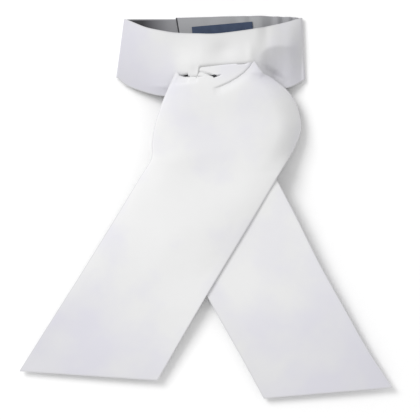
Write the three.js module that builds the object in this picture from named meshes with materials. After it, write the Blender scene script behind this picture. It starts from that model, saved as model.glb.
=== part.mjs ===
// Ready-tied stock tie, lying on its back with its neckband to +Y and its two tails spread to -Y.
// Millimetres, +Z up. The origin is the middle of the whole outline, on the surface that it lies on.
// Cloth is modelled as sheets of a named thickness: each sheet is a grid of points on its middle
// surface, offset to both sides and closed along its edges.
import * as THREE from 'three';

// Driving dimensions.
const BAND_CLOTH = 1.8;       // doubled and interlined cloth of the neckband
const TAIL_CLOTH = 1.6;       // doubled cloth of the tails and of the fold at the knot
const LABEL_CLOTH = 0.8;
const LAYER_GAP = 0.3;        // between two layers that lie on each other
const CREASE_RADIUS = 1.5;    // of the band's middle surface where it is pressed flat at the sides
const FRONT_SLOPE = 32;       // degrees, of the arched front beside each crease
const LIP_RISE = 7.2;         // lift of the band above the slit, where the tails come out
const SLIT_DEPTH = 3;         // of the slit's opening, seen from above
const FASTENER_CLOTH = 2.0;   // hook and loop pressed together

const OUTER_STRIP_Z = BAND_CLOTH / 2;
const FASTENER_Z = BAND_CLOTH + LAYER_GAP;
const INNER_STRIP_Z = FASTENER_Z + FASTENER_CLOTH + LAYER_GAP + BAND_CLOTH / 2;

// The neckband's arched front, from the left crease to the right one.
const BAND_FRONT = [
  { top: [-67, 168.5], foot: [-75.5, 112.5], z: 9 },
  { top: [-56, 163.5], foot: [-62.5, 107], z: 16 },
  { top: [-43, 160], foot: [-47, 102.5], z: 23 },
  { top: [-29, 157.5], foot: [-31, 100.5], z: 26.6 },
  { top: [-10, 156.6], foot: [-10, 100], z: 27.1 },
  { top: [7.5, 156.5], foot: [7.5, 100], z: 27.1 },
  { top: [32, 159.5], foot: [34, 102], z: 27.1 },
  { top: [46, 162], foot: [50, 104.5], z: 24.5 },
  { top: [58, 164.7], foot: [62, 106.5], z: 18.8 },
  { top: [73, 169], foot: [76, 110], z: 10.2 },
];
const LEFT_CREASE = { top: [-75.5, 172.5], foot: [-84, 118.7] };
const RIGHT_CREASE = { top: [87, 173.5], foot: [89.5, 116.5] };

// The two ends of the band, overlapped at the back: the outer strip lies on the surface, and the
// inner one steps up over it.
const OUTER_STRIP = [
  { top: [40, 172.5], foot: [40, 116.5], z: OUTER_STRIP_Z },
  { top: [5, 172.5], foot: [5, 116.5], z: OUTER_STRIP_Z },
  { top: [-32, 172.6], foot: [-33, 116.6], z: OUTER_STRIP_Z },
  { top: [-66, 172.6], foot: [-71, 117.2], z: OUTER_STRIP_Z },
];
const INNER_STRIP = [
  { top: [78, 174.3], foot: [79, 117.5], z: OUTER_STRIP_Z },
  { top: [67, 174.7], foot: [67, 118.2], z: OUTER_STRIP_Z },
  { top: [60, 174.9], foot: [60, 118.4], z: 1.9 },
  { top: [53, 175.1], foot: [53, 118.6], z: 4.3 },
  { top: [46, 175.2], foot: [46, 118.7], z: INNER_STRIP_Z },
  { top: [20, 174.8], foot: [20, 118.3], z: INNER_STRIP_Z },
  { top: [-4, 174.1], foot: [-4, 117.6], z: INNER_STRIP_Z },
  { top: [-28, 173.4], foot: [-28, 116.9], z: INNER_STRIP_Z },
];

// The slit's upper lip along x, and how much of the lip's lift is left there.
const LIP = [
  { x: -37, y: 119.5, lift: 0 },
  { x: -31, y: 119.5, lift: 0.35 },
  { x: -23, y: 119.3, lift: 1 },
  { x: -7, y: 118, lift: 1 },
  { x: -1, y: 126.5, lift: 1 },
  { x: 16, y: 128, lift: 1 },
  { x: 38, y: 130, lift: 1 },
  { x: 46, y: 132.3, lift: 0.4 },
  { x: 54, y: 133, lift: 0 },
];
const SLIT_ENDS = [-31, 46];

// The tails, from the knot to the cut end: the two edges, the heights of the middle surface at the
// left edge, the middle and the right edge, and how far the knot's tuck still pulls the cloth down.
const FRONT_TAIL = [
  { left: [-28.5, 118.3], right: [43, 130], heights: [30, 33.2, 33.4], tuck: 1 },
  { left: [-35.5, 106], right: [60, 116], heights: [28.6, 33.2, 28], tuck: 0.5 },
  { left: [-42, 90.5], right: [74, 104], heights: [25.5, 32.2, 23.5], tuck: 0.15 },
  { left: [-47.5, 73.5], right: [82.5, 88], heights: [21, 30.5, 19.5], tuck: 0 },
  { left: [-50, 58], right: [84.5, 70], heights: [18, 29, 18.5], tuck: 0 },
  { left: [-51, 43.5], right: [76.5, 50], heights: [16, 27, 20], tuck: 0 },
  { left: [-63.5, 24], right: [64, 28], heights: [13, 23.5, 21], tuck: 0 },
  { left: [-87.5, -13.5], right: [36, -20], heights: [8.5, 16.8, 17.5], tuck: 0 },
  { left: [-117, -61.5], right: [7, -69.5], heights: [5, 9.8, 10], tuck: 0 },
  { left: [-146.5, -109], right: [-20.5, -116.5], heights: [3, 4.2, 6.3], tuck: 0 },
  { left: [-172.5, -150.5], right: [-45, -158.5], heights: [2.5, 1.3, 5], tuck: 0 },
];
const BACK_TAIL = [
  { left: [-17, 133], right: [28, 133], heights: [29.2, 29.2, 29.2] },
  { left: [-18.5, 122], right: [28.5, 122], heights: [29.2, 29.2, 29.2] },
  { left: [-20.5, 111], right: [29.5, 111], heights: [29.2, 29.2, 29.2] },
  { left: [-25, 99.5], right: [33, 99.5], heights: [29.1, 29.2, 29.1] },
  { left: [-33, 86], right: [36.5, 86], heights: [25, 28.4, 26.5] },
  { left: [-41.5, 65.5], right: [43, 66], heights: [19, 26.2, 23] },
  { left: [-47, 43], right: [52, 44.5], heights: [14, 23, 18] },
  { left: [-48, 20], right: [63, 25.5], heights: [10.5, 19.4, 16] },
  { left: [-38, -10], right: [84.5, -11], heights: [7, 13.5, 13.5] },
  { left: [-16, -52.5], right: [107.5, -52], heights: [3.5, 7.5, 11] },
  { left: [6, -93.5], right: [130.5, -92], heights: [2, 3.8, 8] },
  { left: [30, -136], right: [152.5, -131], heights: [1.5, 1.8, 5.5] },
  { left: [51.5, -175.5], right: [172.5, -165.5], heights: [1.6, 1.2, 3.5] },
];

// How far the front tail's upper edge dips below the line between its corners, where it is laid
// over the fold of the knot.
const KNOT_DIP = [
  { across: 0, dip: 0 },
  { across: 0.06, dip: -0.4 },
  { across: 0.17, dip: -1 },
  { across: 0.3, dip: 1.8 },
  { across: 0.42, dip: 10.5 },
  { across: 0.5, dip: 16.5 },
  { across: 0.67, dip: 14.5 },
  { across: 0.77, dip: 11.5 },
  { across: 0.86, dip: 8 },
  { across: 0.94, dip: 3.2 },
  { across: 1, dip: 0 },
];

// The fold of cloth that shows between the lip and the front tail, from its rounded left end.
const KNOT_FOLD = [
  { upper: [-6, 128], lower: [-6, 125.5] },
  { upper: [-4.5, 130.5], lower: [-4, 122.8] },
  { upper: [1, 131], lower: [1, 119.5] },
  { upper: [6.5, 131.2], lower: [7.5, 117] },
  { upper: [12, 131.5], lower: [12.5, 111.5] },
  { upper: [17, 132], lower: [20, 107.5] },
  { upper: [24, 132.3], lower: [29.5, 112.5] },
  { upper: [29.5, 132.5], lower: [37, 119.5] },
  { upper: [34, 132.5], lower: [40, 127] },
];
const KNOT_FOLD_Z = BACK_TAIL[0].heights[1] + TAIL_CLOTH + LAYER_GAP;

const FASTENER = { width: 50, height: 38, corner: 2, middle: [8, 145] };
const LABEL = { width: 55.5, height: 28, corner: 1, upperLeft: [-14.5, 165], turn: 5 };

// The value of a named column at a place, straight between the rows of a table.
function readTable(rows, key, column, at) {
  const last = rows.length - 1;
  if (at <= rows[0][key]) return rows[0][column];
  if (at >= rows[last][key]) return rows[last][column];
  const i = rows.findIndex((row) => row[key] > at);
  const t = (at - rows[i - 1][key]) / (rows[i][key] - rows[i - 1][key]);
  return rows[i - 1][column] + t * (rows[i][column] - rows[i - 1][column]);
}

// Rows of numbers on a smooth curve through the given ones, with some steps between each two.
function smoothRows(rows, steps) {
  const at = (i) => rows[Math.min(Math.max(i, 0), rows.length - 1)];
  const result = [];
  for (let i = 0; i < rows.length - 1; i++) {
    for (let k = 0; k < steps; k++) {
      const t = k / steps;
      result.push(rows[i].map((from, n) => (
        catmullRom(at(i - 1)[n], from, at(i + 1)[n], at(i + 2)[n], t))));
    }
  }
  result.push(rows[rows.length - 1]);
  return result;
}

function catmullRom(before, from, to, after, t) {
  const leave = (to - before) / 2;
  const arrive = (after - from) / 2;
  return (2 * t ** 3 - 3 * t ** 2 + 1) * from + (t ** 3 - 2 * t ** 2 + t) * leave
    + (3 * t ** 2 - 2 * t ** 3) * to + (t ** 3 - t ** 2) * arrive;
}

// A sheet as a closed solid. grid[i][j] is a point of its middle surface, and isOpen(i, j) says
// that the cell between i, i + 1 and j, j + 1 is left out as a hole.
function sheetSolid(grid, thickness, isOpen = () => false) {
  const rows = grid.length;
  const columns = grid[0].length;
  const normals = grid.map((row) => row.map(() => new THREE.Vector3()));
  const cells = [];
  for (let i = 0; i < rows - 1; i++) {
    for (let j = 0; j < columns - 1; j++) {
      if (isOpen(i, j)) continue;
      const corners = [[i, j], [i + 1, j], [i + 1, j + 1], [i, j + 1]];
      const [a, b, c, d] = corners.map(([row, column]) => grid[row][column]);
      const normal = new THREE.Vector3().subVectors(c, a)
        .cross(new THREE.Vector3().subVectors(d, b)).normalize();
      for (const [row, column] of corners) normals[row][column].add(normal);
      cells.push(corners);
    }
  }
  const positions = [];
  for (const side of [1, -1]) {
    for (let i = 0; i < rows; i++) {
      for (let j = 0; j < columns; j++) {
        const offset = normals[i][j].clone().normalize().multiplyScalar(side * thickness / 2);
        positions.push(...offset.add(grid[i][j]).toArray());
      }
    }
  }
  const upper = ([i, j]) => i * columns + j;
  const lower = ([i, j]) => rows * columns + i * columns + j;
  const faces = [];
  const edges = new Map();
  for (const corners of cells) {
    const [a, b, c, d] = corners;
    faces.push(upper(a), upper(b), upper(c), upper(a), upper(c), upper(d));
    faces.push(lower(a), lower(c), lower(b), lower(a), lower(d), lower(c));
    corners.forEach((from, k) => {
      const to = corners[(k + 1) % 4];
      const back = `${to}|${from}`;
      if (edges.has(back)) edges.delete(back);
      else edges.set(`${from}|${to}`, [from, to]);
    });
  }
  for (const [from, to] of edges.values()) {
    faces.push(upper(from), lower(from), lower(to), upper(from), lower(to), upper(to));
  }
  return closedGeometry(positions, faces);
}

// Only the points that the faces use, so that no stray point is left inside a hole.
function closedGeometry(positions, faces) {
  const places = new Map();
  const used = [];
  const index = faces.map((face) => {
    if (!places.has(face)) {
      places.set(face, places.size);
      used.push(...positions.slice(face * 3, face * 3 + 3));
    }
    return places.get(face);
  });
  const geometry = new THREE.BufferGeometry();
  geometry.setAttribute('position', new THREE.Float32BufferAttribute(used, 3));
  geometry.setIndex(index);
  geometry.computeVertexNormals();
  return geometry;
}

// The stations of a crease: the band turns on a small radius about the pressed edge.
function creaseStations({ top, foot }, outward, fromAngle, toAngle) {
  const STEPS = 6;
  const inset = outward * (CREASE_RADIUS + BAND_CLOTH / 2);
  const centreZ = OUTER_STRIP_Z + CREASE_RADIUS;
  return Array.from({ length: STEPS + 1 }, (_, k) => {
    const angle = THREE.MathUtils.degToRad(fromAngle + (toAngle - fromAngle) * k / STEPS);
    const x = CREASE_RADIUS * Math.cos(angle) - inset;
    const z = centreZ + CREASE_RADIUS * Math.sin(angle);
    return { top: [top[0] + x, top[1]], foot: [foot[0] + x, foot[1]], z };
  });
}

function buildNeckband() {
  const STEPS = 3;
  const UPPER_ROWS = 4;
  const LOWER_ROWS = 2;
  const FLAT_LIP = 0.62;
  const leaving = 90 - FRONT_SLOPE;
  const left = creaseStations(LEFT_CREASE, -1, -90, -180 - leaving);
  const right = creaseStations(RIGHT_CREASE, 1, leaving, -90);
  const asNumbers = ({ top, foot, z }) => [...top, ...foot, z];
  const arch = smoothRows([left.at(-1), ...BAND_FRONT, right[0]].map(asNumbers), STEPS);
  const stations = [
    ...[...OUTER_STRIP, ...left].map((row) => ({ row: asNumbers(row), front: false })),
    ...arch.slice(1, -1).map((row) => ({ row, front: true })),
    ...[...right, ...INNER_STRIP].map((row) => ({ row: asNumbers(row), front: false })),
  ];
  const grid = stations.map(({ row: [topX, topY, footX, footY, z], front }) => {
    const middleX = (topX + footX) / 2;
    const height = topY - footY;
    const lip = front ? (topY - readTable(LIP, 'x', 'y', middleX)) / height : FLAT_LIP;
    const lift = front ? LIP_RISE * readTable(LIP, 'x', 'lift', middleX) : 0;
    const below = lip + SLIT_DEPTH / height;
    const across = [];
    for (let k = 0; k <= UPPER_ROWS; k++) {
      const share = k / UPPER_ROWS;
      across.push([lip * share, lift * Math.sin(share * Math.PI / 2) ** 2]);
    }
    for (let k = 0; k <= LOWER_ROWS; k++) across.push([below + (1 - below) * k / LOWER_ROWS, 0]);
    return across.map(([v, up]) => new THREE.Vector3(
      topX + (footX - topX) * v, topY + (footY - topY) * v, z + up));
  });
  const inSlit = (i) => stations[i].front
    && grid[i][UPPER_ROWS].x > SLIT_ENDS[0] && grid[i][UPPER_ROWS].x < SLIT_ENDS[1];
  return sheetSolid(grid, BAND_CLOTH, (i, j) => j === UPPER_ROWS && inSlit(i) && inSlit(i + 1));
}

// A tail: straight rows from edge to edge, arched between the three heights.
function buildTail(rows, columns, steps) {
  const ARCH_POWER = 4;
  const numbers = rows.map(({ left, right, heights, tuck = 0 }) => (
    [...left, ...right, ...heights, tuck]));
  const grid = smoothRows(numbers, steps).map(([leftX, leftY, rightX, rightY, leftZ, middleZ, rightZ, tuck]) => (
    columns.map((across) => {
      const arch = (middleZ - (leftZ + rightZ) / 2) * (1 - Math.abs(2 * across - 1) ** ARCH_POWER);
      const dip = tuck * readTable(KNOT_DIP, 'across', 'dip', across);
      return new THREE.Vector3(
        leftX + (rightX - leftX) * across,
        leftY + (rightY - leftY) * across - dip,
        leftZ + (rightZ - leftZ) * across + arch);
    })));
  return sheetSolid(grid, TAIL_CLOTH);
}

function buildKnotFold() {
  const ROWS = 3;
  const grid = Array.from({ length: ROWS + 1 }, (_, k) => KNOT_FOLD.map(({ upper, lower }) => {
    const t = k / ROWS;
    return new THREE.Vector3(
      upper[0] + (lower[0] - upper[0]) * t, upper[1] + (lower[1] - upper[1]) * t, KNOT_FOLD_Z);
  }));
  return sheetSolid(grid, TAIL_CLOTH);
}

function roundedPlate(width, height, corner, thickness) {
  const outline = new THREE.Shape();
  const x = width / 2 - corner;
  const y = height / 2 - corner;
  outline.absarc(x, y, corner, 0, Math.PI / 2);
  outline.absarc(-x, y, corner, Math.PI / 2, Math.PI);
  outline.absarc(-x, -y, corner, Math.PI, 1.5 * Math.PI);
  outline.absarc(x, -y, corner, 1.5 * Math.PI, 2 * Math.PI);
  const settings = { depth: thickness, bevelEnabled: false, curveSegments: 3 };
  return new THREE.ExtrudeGeometry(outline, settings);
}

function named(name, geometry, material) {
  const mesh = new THREE.Mesh(geometry, material);
  mesh.name = name;
  return mesh;
}

const whiteCotton = new THREE.MeshStandardMaterial({ color: '#e9e9ec', roughness: 0.9, metalness: 0 });
const navyWeave = new THREE.MeshStandardMaterial({ color: '#2d415f', roughness: 0.85, metalness: 0 });
const whiteTape = new THREE.MeshStandardMaterial({ color: '#dcdcdc', roughness: 0.95, metalness: 0 });

const stockTie = new THREE.Group();

const FRONT_COLUMNS = KNOT_DIP.map((row) => row.across);
const BACK_COLUMNS = [0, 0.08, 0.2, 0.35, 0.5, 0.65, 0.8, 0.92, 1];
stockTie.add(named('neckband', buildNeckband(), whiteCotton));
stockTie.add(named('front_tail', buildTail(FRONT_TAIL, FRONT_COLUMNS, 3), whiteCotton));
stockTie.add(named('back_tail', buildTail(BACK_TAIL, BACK_COLUMNS, 2), whiteCotton));
stockTie.add(named('knot_fold', buildKnotFold(), whiteCotton));

const fastener = named('touch_fastener',
  roundedPlate(FASTENER.width, FASTENER.height, FASTENER.corner, FASTENER_CLOTH), whiteTape);
fastener.position.set(...FASTENER.middle, FASTENER_Z);
stockTie.add(fastener);

const label = named('label',
  roundedPlate(LABEL.width, LABEL.height, LABEL.corner, LABEL_CLOTH), navyWeave);
label.position.set(LABEL.width / 2, -LABEL.height / 2, 0);
const labelPlace = new THREE.Group();
labelPlace.position.set(...LABEL.upperLeft, INNER_STRIP_Z + BAND_CLOTH / 2 + LAYER_GAP);
labelPlace.rotation.z = THREE.MathUtils.degToRad(LABEL.turn);
labelPlace.add(label);
stockTie.add(labelPlace);

export default stockTie;
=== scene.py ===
# %% [markdown]
# # A ready-tied stock tie, laid on its back
#
# A stock tie is the white neckcloth that riders wear. This one is sewn ready-tied: a band of
# doubled cotton closes round the neck, and two wide tails come out of a slit in its front and
# cross. Starched cotton is smooth and a little stiff, so the tie keeps soft, broad curves where
# silk would lie flat. That is what the shapes and the light below have to show.
#
# The measured model is loaded first. Every piece of cloth is then laid in the place of its plain
# solid, in the same frame: metres, +Z up, the band towards +Y and the tails towards -Y.

# %% Load the measured model
import math

import bpy
import numpy as np
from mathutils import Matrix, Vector


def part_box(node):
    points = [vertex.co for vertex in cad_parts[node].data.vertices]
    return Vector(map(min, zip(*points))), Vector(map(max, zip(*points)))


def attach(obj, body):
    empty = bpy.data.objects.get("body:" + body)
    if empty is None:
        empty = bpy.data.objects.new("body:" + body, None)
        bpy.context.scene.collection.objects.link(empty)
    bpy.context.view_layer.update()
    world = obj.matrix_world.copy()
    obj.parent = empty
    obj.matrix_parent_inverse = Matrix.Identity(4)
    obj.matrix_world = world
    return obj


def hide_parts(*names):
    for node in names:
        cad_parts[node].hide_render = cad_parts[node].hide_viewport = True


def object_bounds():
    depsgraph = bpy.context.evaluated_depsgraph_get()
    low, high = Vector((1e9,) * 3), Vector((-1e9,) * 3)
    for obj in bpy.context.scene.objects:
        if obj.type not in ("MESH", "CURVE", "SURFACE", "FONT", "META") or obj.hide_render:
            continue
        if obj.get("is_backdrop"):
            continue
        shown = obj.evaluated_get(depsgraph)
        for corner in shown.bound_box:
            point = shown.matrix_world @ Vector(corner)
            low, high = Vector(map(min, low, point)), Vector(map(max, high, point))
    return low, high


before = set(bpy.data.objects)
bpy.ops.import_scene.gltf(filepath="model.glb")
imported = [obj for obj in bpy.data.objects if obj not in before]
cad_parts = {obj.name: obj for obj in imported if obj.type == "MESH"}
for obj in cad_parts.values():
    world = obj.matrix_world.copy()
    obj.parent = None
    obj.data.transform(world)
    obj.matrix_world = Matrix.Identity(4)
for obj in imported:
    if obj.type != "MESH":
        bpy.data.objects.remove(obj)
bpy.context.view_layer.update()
MM = 0.001

# %% [markdown]
# ## Camera
#
# The tie is seen from straight above. A long lens from 1.6 m keeps the cloth's outline nearly
# free of perspective: only the knot, 35 mm high, grows by two hundredths.

# %% Camera
CAMERA_HEIGHT = 1.6
SENSOR_WIDTH = 36
VIEW_WIDTH = 0.3864
VIEW_CENTRE = (0.0022, -0.0027)

camera_data = bpy.data.cameras.new("camera")
camera_data.sensor_width = SENSOR_WIDTH
camera_data.lens = SENSOR_WIDTH * CAMERA_HEIGHT / VIEW_WIDTH
camera = bpy.data.objects.new("camera", camera_data)
camera.location = (*VIEW_CENTRE, CAMERA_HEIGHT)
bpy.context.scene.collection.objects.link(camera)
bpy.context.scene.camera = camera
print("lens, mm:", round(camera_data.lens, 1))

# %% [markdown]
# ## Light
#
# White cloth on a white ground is shown by its shadows alone. More than half of the light comes
# evenly from the whole bright studio, which fills every hollow softly. The rest comes from one
# softbox, high beyond the band and well to the left, so that each edge throws a short soft shadow
# to the right and towards the tails. The standard view transform keeps white at white.

# %% Light and ground
SOFTBOX_PLACE = (-1.6, 1.43, 2.1)
SOFTBOX_SIZE = 1.36
SOFTBOX_POWER = 52.5
STUDIO_BRIGHTNESS = 0.68
GROUND_SIZE = 6
# The ground lies a hair below the cloth, so that the two faces don't share a plane.
GROUND_Z = -0.2 * MM

softbox = bpy.data.lights.new("key_softbox", "AREA")
softbox.shape = "SQUARE"
softbox.size = SOFTBOX_SIZE
softbox.energy = SOFTBOX_POWER
lamp = bpy.data.objects.new("key_softbox", softbox)
lamp.location = SOFTBOX_PLACE
towards_tie = -Vector(SOFTBOX_PLACE)
lamp.rotation_euler = towards_tie.to_track_quat("-Z", "Y").to_euler()
bpy.context.scene.collection.objects.link(lamp)

world = bpy.data.worlds.new("studio")
world.use_nodes = True
world.node_tree.nodes["Background"].inputs["Color"].default_value = (1, 1, 1, 1)
world.node_tree.nodes["Background"].inputs["Strength"].default_value = STUDIO_BRIGHTNESS
bpy.context.scene.world = world
bpy.context.scene.view_settings.view_transform = "Standard"

bpy.ops.object.select_all(action="DESELECT")
bpy.ops.mesh.primitive_plane_add(size=GROUND_SIZE, location=(0, 0, GROUND_Z))
ground = bpy.context.object
ground.name = "ground"
ground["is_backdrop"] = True

# %% [markdown]
# ## Materials: helpers
#
# Colours are written as the hex values that a colour picker shows, and one function turns them to
# linear light. One small function adds a node with its settings and its links.

# %% Material helpers
def linear(hex_colour):
    """An sRGB hex colour as the linear red, green, blue and alpha that Blender's sockets take."""
    shades = [int(hex_colour[i:i + 2], 16) / 255 for i in (1, 3, 5)]
    return (*[s / 12.92 if s <= 0.04045 else ((s + 0.055) / 1.055) ** 2.4 for s in shades], 1)


def feed(material, node, inputs):
    """Gives each named or numbered socket a value, or links another node's socket to it."""
    for name, value in inputs.items():
        if isinstance(value, bpy.types.NodeSocket):
            material.node_tree.links.new(value, node.inputs[name])
        else:
            node.inputs[name].default_value = value


def add_node(material, kind, inputs=None, **settings):
    """A new node with its settings and inputs."""
    node = material.node_tree.nodes.new(kind)
    for name, value in settings.items():
        setattr(node, name, value)
    feed(material, node, inputs or {})
    return node


def start_material(name, hex_colour, roughness, **inputs):
    """A material and its Principled shader, whose constant values sit on the shader itself."""
    material = bpy.data.materials.new(name)
    material.use_nodes = True
    shader = material.node_tree.nodes["Principled BSDF"]
    feed(material, shader, {"Base Color": linear(hex_colour), "Roughness": roughness, **inputs})
    return material, shader


# A Mix node has sockets for each kind of data. These are the ones for colour, by number.
MIX_A, MIX_B, MIX_OUT = 6, 7, 2

ground_paper, _ = start_material("matt_white_paper", "#FFFFFF", 0.95, **{"Specular IOR Level": 0.1})
ground.data.materials.append(ground_paper)
print("ground:", ground_paper.name)

# %% [markdown]
# ## Starched cotton
#
# Cotton for a stock is a plain weave, pressed hard with starch. The eye gets three things from it:
# an even, slightly cool white that is never quite as bright as paper; a very soft sheen from the
# fibre ends; and, close up, the small grid of threads. Real threads lie 0.35 mm apart, which no
# picture of the whole tie can show, so they are drawn 0.8 mm apart.
#
# The weave reads the cloth's own UV map, which is laid out in metres along and across each piece,
# so it turns with every tail. The higher of two waves, one for each way of the threads, gives the
# grid. What belongs to the whole tie, such as its painted shade, reads Object coordinates.

# %% Weave and distance
THREAD_SPACING = 0.8 * MM
# A wave texture of this scale repeats once in each unit of its coordinates.
ONE_WAVE = math.tau / 20


def woven_height(material, uv):
    """The height of a plain weave: threads along both ways of the cloth, the higher one showing."""
    counted = add_node(material, "ShaderNodeMapping",
                       {"Vector": uv, "Scale": (1 / THREAD_SPACING,) * 3})
    threads = []
    for direction in ("X", "Y"):
        wave = add_node(material, "ShaderNodeTexWave",
                        {"Vector": counted.outputs["Vector"], "Scale": ONE_WAVE},
                        bands_direction=direction)
        threads.append(wave.outputs["Fac"])
    # A Math node has two sockets of one name, so they are given by number.
    higher = add_node(material, "ShaderNodeMath", dict(enumerate(threads)), operation="MAXIMUM")
    return higher.outputs[0]


def far_from(material, place, centre, near, far):
    """0 within the distance near of a place on the object, 1 beyond far."""
    away = add_node(material, "ShaderNodeVectorMath", {0: place, 1: centre}, operation="DISTANCE")
    share = add_node(material, "ShaderNodeMapRange",
                     {"Value": away.outputs["Value"], "From Min": near, "From Max": far})
    return share.outputs["Result"]


print("threads drawn in a centimetre:", 10 * MM / THREAD_SPACING)

# %% [markdown]
# ### Whites that drift, and painted shade
#
# Washed cotton never has one flat white. It drifts a little from place to place, at random. On top
# of that comes painted shade: the colour is painted darker with the distance from the middle of the
# cloth, towards the tails' ends and the band's sides, where the light falls off. There it also
# takes a faint lavender, a painted cool tint of that shade, broken into random clouds. The tint
# changes the hue and not the brightness, so its Mix node blends by colour. The turned edge is
# painted a shade darker too, as painted shade where the cloth rolls under. A point attribute holds
# the distance to the nearest edge.
#
# The tails, the band and the band's inside are one kind of cloth in three shades. The band's is
# painted darker, as painted shade, and its inside is painted grey, as painted shade of the hollow
# loop. That inside is nearly black, as painted deep shade, at the end that the lap leaves bare.

# %% Cotton
# Noise scales count the patches in a metre.
DRIFT_SCALE = 22
COOL_TINT_SCALE = 24
CRINKLE_SCALE = 90
COOL_SHADE_TINT = "#DEDDE5"
# The turned edge's painted shade, measured inwards from the fold, and how much of it the edge takes.
EDGE_FROM, EDGE_TO = 0.2 * MM, 1.5 * MM
EDGE_SHARE = 0.9
THREAD_HEIGHT = 0.06 * MM
CRINKLE_HEIGHT = 0.5 * MM


def cotton(name, colour, drift_colour, edge_colour, far_colour, centre, reach):
    """Starched cotton, painted darker away from centre and at its edges as painted shade."""
    material, shader = start_material(
        name, colour, 0.82,
        **{"Sheen Weight": 0.12, "Sheen Roughness": 0.45, "Specular IOR Level": 0.25})
    uv = add_node(material, "ShaderNodeUVMap", uv_map="cloth").outputs["UV"]
    place = add_node(material, "ShaderNodeTexCoord").outputs["Object"]
    cloudy = add_node(material, "ShaderNodeTexNoise",
                      {"Vector": place, "Scale": DRIFT_SCALE, "Detail": 3,
                       "Roughness": 0.55}).outputs["Fac"]
    drift = add_node(material, "ShaderNodeMapRange",
                     {"Value": cloudy, "From Min": 0.35, "From Max": 0.65, "To Max": 0.5})
    drifted = add_node(material, "ShaderNodeMix",
                       {0: drift.outputs["Result"], MIX_A: linear(colour),
                        MIX_B: linear(drift_colour)}, data_type="RGBA")
    # Painted shade: the colour darkens to far_colour with the distance from centre.
    away = far_from(material, place, centre, *reach)
    shaded = add_node(material, "ShaderNodeMix",
                      {0: away, MIX_A: drifted.outputs[MIX_OUT], MIX_B: linear(far_colour)},
                      data_type="RGBA")
    # A painted cool tint of that shade, broken into random clouds.
    patches = add_node(material, "ShaderNodeTexNoise",
                       {"Vector": place, "Scale": COOL_TINT_SCALE, "Detail": 3,
                        "Roughness": 0.5}).outputs["Fac"]
    patchy = add_node(material, "ShaderNodeMapRange",
                      {"Value": patches, "From Min": 0.36, "From Max": 0.66, "To Min": -0.5,
                       "To Max": 0.4})
    cool_tint = add_node(material, "ShaderNodeMath", {0: away, 1: patchy.outputs["Result"]},
                       operation="ADD", use_clamp=True)
    tinted = add_node(material, "ShaderNodeMix",
                     {0: cool_tint.outputs[0], MIX_A: shaded.outputs[MIX_OUT],
                      MIX_B: linear(COOL_SHADE_TINT)}, data_type="RGBA", blend_type="COLOR")
    # Painted shade at the turned edge, where the cloth rolls under.
    edge = add_node(material, "ShaderNodeAttribute", attribute_name="edge_distance").outputs["Fac"]
    rim = add_node(material, "ShaderNodeMapRange",
                   {"Value": edge, "From Min": EDGE_FROM, "From Max": EDGE_TO,
                    "To Min": EDGE_SHARE, "To Max": 0})
    turned = add_node(material, "ShaderNodeMix",
                      {0: rim.outputs["Result"], MIX_A: tinted.outputs[MIX_OUT],
                       MIX_B: linear(edge_colour)}, data_type="RGBA")
    weave = add_node(material, "ShaderNodeBump",
                     {"Height": woven_height(material, uv), "Strength": 0.25,
                      "Distance": THREAD_HEIGHT})
    crinkle = add_node(material, "ShaderNodeTexNoise",
                       {"Vector": place, "Scale": CRINKLE_SCALE, "Detail": 2, "Roughness": 0.5})
    pressed = add_node(material, "ShaderNodeBump",
                       {"Height": crinkle.outputs["Fac"], "Normal": weave.outputs["Normal"],
                        "Strength": 0.25, "Distance": CRINKLE_HEIGHT})
    rough = add_node(material, "ShaderNodeMapRange",
                     {"Value": cloudy, "To Min": 0.74, "To Max": 0.9})
    feed(material, shader, {"Base Color": turned.outputs[MIX_OUT],
                            "Normal": pressed.outputs["Normal"],
                            "Roughness": rough.outputs["Result"]})
    return material


# Each cotton: colour, random drift, painted shade at the edge, painted shade away from centre, that
# centre, and the reach of the shade away from it.
outer_cotton = cotton("starched_plain_weave_cotton", "#E9E9E9", "#E5E5E5", "#D2D2D4", "#D8D8D9",
                      (0.01, 0, 0.02), (0.06, 0.21))
# The band's cotton is the tails' cloth painted darker, as painted shade.
band_cotton = cotton("band_cotton_painted_shade", "#DCDCDC", "#D8D8D8", "#C6C6C8", "#CBCBCD",
                     (0.015, 0.155, 0.02), (0.042, 0.1))
# The band's inside is painted grey, as painted shade of the hollow loop, and nearly black, as painted
# deep shade, at the bare end of the lap.
band_inside_painted_shade = cotton("band_inside_painted_shade_cotton", "#A6A7A9", "#9A9A9E", "#9A9A9E", "#3E3E44",
                       (0.04, 0.17, 0.005), (0.066, 0.1))
print("cotton nodes:", len(outer_cotton.node_tree.nodes))

# %% [markdown]
# ### Painted shadow at the lap's end
#
# The end of the lap casts a thin dark shadow inside the band, and it is painted: the faces there
# take a dark material. One wave along the line gives it stripes of colour and small bumps.

# %% Painted shadow at the lap's end
LAP_END_STRIPE_SPACING = 1.2 * MM

lap_end_painted_shadow, lap_end_shader = start_material("lap_end_painted_shadow_material", "#26262A", 0.7,
                                            **{"Sheen Weight": 0.2})
lap_end_place = add_node(lap_end_painted_shadow, "ShaderNodeTexCoord").outputs["Object"]
lap_end_stripes = add_node(lap_end_painted_shadow, "ShaderNodeTexWave",
                    {"Vector": lap_end_place, "Scale": ONE_WAVE / LAP_END_STRIPE_SPACING},
                    bands_direction="Y")
lap_end_stripe_colour = add_node(lap_end_painted_shadow, "ShaderNodeMix",
                         {0: lap_end_stripes.outputs["Fac"], MIX_A: linear("#17171A"),
                          MIX_B: linear("#35353A")}, data_type="RGBA")
lap_end_stripe_bump = add_node(lap_end_painted_shadow, "ShaderNodeBump",
                       {"Height": lap_end_stripes.outputs["Fac"], "Strength": 0.6, "Distance": 0.3 * MM})
feed(lap_end_painted_shadow, lap_end_shader, {"Base Color": lap_end_stripe_colour.outputs[MIX_OUT],
                                  "Normal": lap_end_stripe_bump.outputs["Normal"]})
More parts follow.
